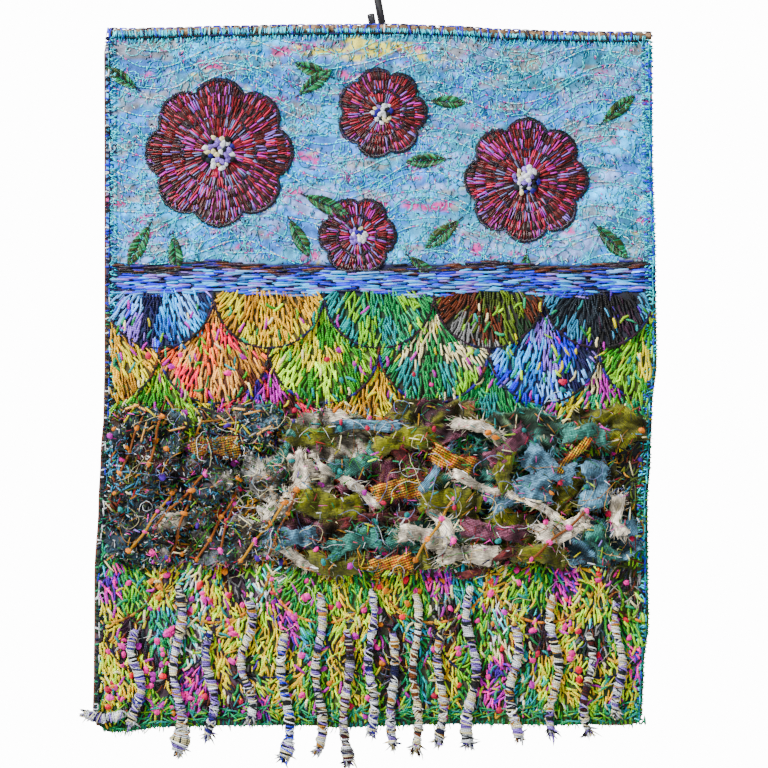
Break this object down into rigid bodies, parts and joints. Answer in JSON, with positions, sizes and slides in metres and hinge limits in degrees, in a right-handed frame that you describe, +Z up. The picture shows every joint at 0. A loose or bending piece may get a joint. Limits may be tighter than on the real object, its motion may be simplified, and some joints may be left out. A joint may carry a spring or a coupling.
{
  "type": "textile wall hanging with hook",
  "caption": "Quilted and hand-stitched cloth panel with gathered scraps and wrapped cords over its hem, hanging by a back loop from a bent black rod hook.",
  "frame": {"origin": "inner top of the hook's upper bend, where a rail or nail carries the part", "axes": "+Z up, +X to the right seen from the front, the front of the cloth faces -Y"},
  "size_m": [0.373, 0.0411, 0.5197],
  "materials": {
    "stitched_cloth": "fleece and cotton dense with machine and hand stitches",
    "backing_cloth": "plain felted cloth",
    "rolled_binding": "rolled raw-edged cloth",
    "loop_cord": "sewn cloth cord",
    "black_rod": "glossy black",
    "wrapped_cord": "cord wrapped with many-coloured thread",
    "scrap_olive": "torn gauze",
    "scrap_blue": "torn cotton",
    "scrap_grey": "torn hessian",
    "scrap_mauve": "torn silk",
    "scrap_teal": "torn cotton"
  },
  "bodies": {
    "root": {"panel": "stitched_cloth", "backing": "backing_cloth", "top_binding": "rolled_binding", "hanging_loop": "loop_cord", "hook": "black_rod", "side_cord": "wrapped_cord", "wrapped_cord_01": "wrapped_cord", "wrapped_cord_02": "wrapped_cord", "wrapped_cord_03": "wrapped_cord", "wrapped_cord_04": "wrapped_cord", "wrapped_cord_05": "wrapped_cord", "wrapped_cord_06": "wrapped_cord", "wrapped_cord_07": "wrapped_cord", "wrapped_cord_08": "wrapped_cord", "wrapped_cord_09": "wrapped_cord", "wrapped_cord_10": "wrapped_cord", "wrapped_cord_11": "wrapped_cord", "wrapped_cord_12": "wrapped_cord", "wrapped_cord_13": "wrapped_cord", "wrapped_cord_14": "wrapped_cord", "wrapped_cord_15": "wrapped_cord", "wrapped_cord_16": "wrapped_cord", "scrap_01": "scrap_olive", "scrap_02": "scrap_blue", "scrap_03": "scrap_grey", "scrap_04": "scrap_mauve", "scrap_05": "scrap_teal", "scrap_06": "scrap_olive", "scrap_07": "scrap_blue", "scrap_08": "scrap_grey", "scrap_09": "scrap_mauve", "scrap_10": "scrap_teal", "scrap_11": "scrap_olive", "scrap_12": "scrap_blue", "scrap_13": "scrap_grey", "scrap_14": "scrap_mauve", "scrap_15": "scrap_teal", "scrap_16": "scrap_olive", "scrap_17": "scrap_blue"}
  },
  "joints": []
}
